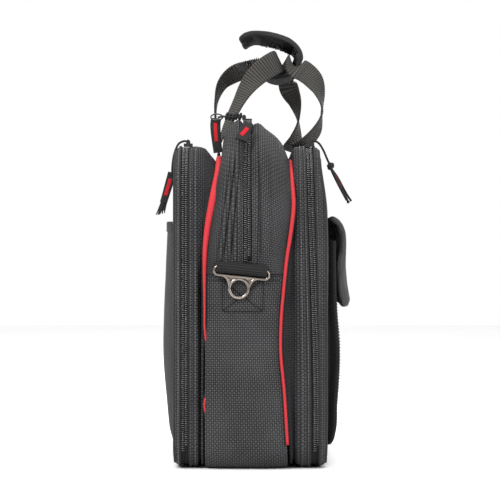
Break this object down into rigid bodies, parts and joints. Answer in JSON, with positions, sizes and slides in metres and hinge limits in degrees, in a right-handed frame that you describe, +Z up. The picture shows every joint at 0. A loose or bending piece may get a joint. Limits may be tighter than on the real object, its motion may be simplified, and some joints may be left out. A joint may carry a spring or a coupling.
{
  "type": "zip-up tool and laptop bag",
  "caption": "Soft zip-up briefcase with a main compartment, zipped side compartments, a flap pocket, a slip pocket, twin webbing handles with a grip wrap and metal end rings.",
  "frame": {"origin": "centre of the base, on the surface the bag stands on", "axes": "+X through the thickness towards the flap pocket, +Y along the length, +Z up"},
  "size_m": [0.19, 0.446, 0.4555],
  "materials": {
    "weave": "coarse basket weave, dark grey",
    "smooth": "fine plain weave, grey",
    "lining": "padded lining, grey",
    "piping": "red corded piping",
    "zip": "black coil zip on woven tape",
    "webbing": "ribbed webbing, warm dark grey",
    "hook_tape": "hook and loop tape, black",
    "board": "stiff board, black",
    "metal": "polished gunmetal",
    "ring_metal": "polished nickel",
    "pull_tape": "folded black tape with a red stripe",
    "padding": "padded wrap with a brushed inside"
  },
  "bodies": {
    "bag": {"main_bottom": "weave", "main_rear_wall": "weave", "main_front_wall": "weave", "end_gusset_near": "weave", "end_gusset_far": "weave", "rear_piping": "piping", "front_piping": "piping", "rear_inner_gusset": "weave", "front_inner_gusset": "weave", "rear_lower_shell": "weave", "front_lower_shell": "weave", "rear_inner_zip": "zip", "front_inner_zip": "zip", "end_zip_near": "zip", "end_zip_far": "zip", "end_tab_near": "webbing", "end_tab_far": "webbing", "rear_handle_anchors": "webbing", "front_handle_anchors": "webbing", "base_board": "board", "laptop_divider": "lining", "divider_strap": "webbing", "organiser_pocket": "lining"},
    "mouth_front": {"top_panel_front": "weave", "top_zip_front": "zip"},
    "mouth_rear": {"top_panel_rear": "weave", "top_zip_rear": "zip"},
    "front_cover": {"front_panel": "weave", "front_outer_gusset": "weave", "front_outer_zip": "zip", "pocket_bellows": "weave", "pocket_panel": "weave", "pocket_corner_tabs": "piping", "pocket_hook_patches": "hook_tape"},
    "rear_cover": {"rear_panel": "weave", "rear_outer_gusset": "weave", "rear_outer_zip": "zip", "slip_pocket": "smooth", "slip_pocket_hem": "webbing"},
    "flap": {"pocket_flap": "weave", "flap_loop_patches": "hook_tape"},
    "front_zip_slider": {"front_slider": "metal"},
    "front_pull": {"front_puller": "metal", "front_pull_tab": "pull_tape"},
    "rear_zip_slider": {"rear_slider": "metal"},
    "rear_pull": {"rear_puller": "metal", "rear_pull_tab": "pull_tape"},
    "corner_slider": {"main_slider_a": "metal"},
    "corner_pull": {"main_puller_a": "metal", "main_tab_a": "pull_tape"},
    "top_slider": {"main_slider_b": "metal"},
    "top_pull": {"main_puller_b": "metal", "main_tab_b": "pull_tape"},
    "rear_carry": {"rear_handle": "webbing"},
    "front_carry": {"front_handle": "webbing", "grip_wrap": "padding"},
    "wrap_flap": {"grip_flap": "padding"},
    "near_ring": {"ring_near": "ring_metal"},
    "far_ring": {"ring_far": "ring_metal"}
  },
  "joints": [
    {"name": "mouth_front_open", "type": "hinge", "parent": "bag", "child": "mouth_front", "pos_m": [0.041, 0, 0.3098], "axis": [0, 1, 0], "range_deg": [0, 35]},
    {"name": "mouth_rear_open", "type": "hinge", "parent": "bag", "child": "mouth_rear", "pos_m": [-0.03, 0, 0.31], "axis": [0, -1, 0], "range_deg": [0, 10]},
    {"name": "front_cover_open", "type": "hinge", "parent": "bag", "child": "front_cover", "pos_m": [0.077, 0, 0.021], "axis": [0, 1, 0], "range_deg": [0, 75]},
    {"name": "rear_cover_open", "type": "hinge", "parent": "bag", "child": "rear_cover", "pos_m": [-0.076, 0, 0.021], "axis": [0, -1, 0], "range_deg": [0, 75]},
    {"name": "flap_lift", "type": "hinge", "parent": "front_cover", "child": "flap", "pos_m": [0.079, 0, 0.256], "axis": [0, -1, 0], "range_deg": [0, 120]},
    {"name": "front_zip_run", "type": "slide", "parent": "front_cover", "child": "front_zip_slider", "axis": [0, 1, 0], "range_m": [0, 0.33]},
    {"name": "front_pull_lift", "type": "hinge", "parent": "front_zip_slider", "child": "front_pull", "pos_m": [0.061, -0.165, 0.3304], "axis": [0, -1, 0], "range_deg": [0, 140]},
    {"name": "rear_zip_run", "type": "slide", "parent": "rear_cover", "child": "rear_zip_slider", "axis": [0, 1, 0], "range_m": [0, 0.33]},
    {"name": "rear_pull_lift", "type": "hinge", "parent": "rear_zip_slider", "child": "rear_pull", "pos_m": [-0.063, -0.165, 0.3304], "axis": [0, 1, 0], "range_deg": [0, 140]},
    {"name": "corner_zip_run", "type": "hinge", "parent": "bag", "child": "corner_slider", "pos_m": [-0.0025, -0.165, 0.304], "axis": [1, 0, 0], "range_deg": [0, 45]},
    {"name": "corner_pull_lift", "type": "hinge", "parent": "corner_slider", "child": "corner_pull", "pos_m": [-0.0025, -0.18914, 0.34962], "axis": [-1, 0, 0], "range_deg": [0, 90]},
    {"name": "top_zip_run", "type": "slide", "parent": "mouth_rear", "child": "top_slider", "axis": [0, 1, 0], "range_m": [0, 0.075]},
    {"name": "top_pull_lift", "type": "hinge", "parent": "top_slider", "child": "top_pull", "pos_m": [-0.006, -0.172, 0.3553], "axis": [0, 1, 0], "range_deg": [0, 90]},
    {"name": "rear_handle_swing", "type": "hinge", "parent": "bag", "child": "rear_carry", "pos_m": [-0.0345, 0, 0.325], "axis": [0, -1, 0], "range_deg": [0, 60]},
    {"name": "front_handle_swing", "type": "hinge", "parent": "bag", "child": "front_carry", "pos_m": [0.0465, 0, 0.3285], "axis": [0, 1, 0], "range_deg": [0, 36]},
    {"name": "wrap_open", "type": "hinge", "parent": "front_carry", "child": "wrap_flap", "pos_m": [0.0513, 0, 0.441], "axis": [0, 1, 0], "range_deg": [0, 108]},
    {"name": "near_ring_lift", "type": "hinge", "parent": "bag", "child": "near_ring", "pos_m": [-0.008, -0.217, 0.2015], "axis": [-0.9945, 0, 0.1045], "range_deg": [0, 100]},
    {"name": "far_ring_lift", "type": "hinge", "parent": "bag", "child": "far_ring", "pos_m": [-0.008, 0.217, 0.2015], "axis": [0.9945, 0, -0.1045], "range_deg": [0, 100]}
  ],
  "couplings": [
    {"joint": "front_handle_swing", "follows": "rear_handle_swing", "ratio": 0.6},
    {"joint": "wrap_open", "follows": "rear_handle_swing", "ratio": 1.8}
  ]
}
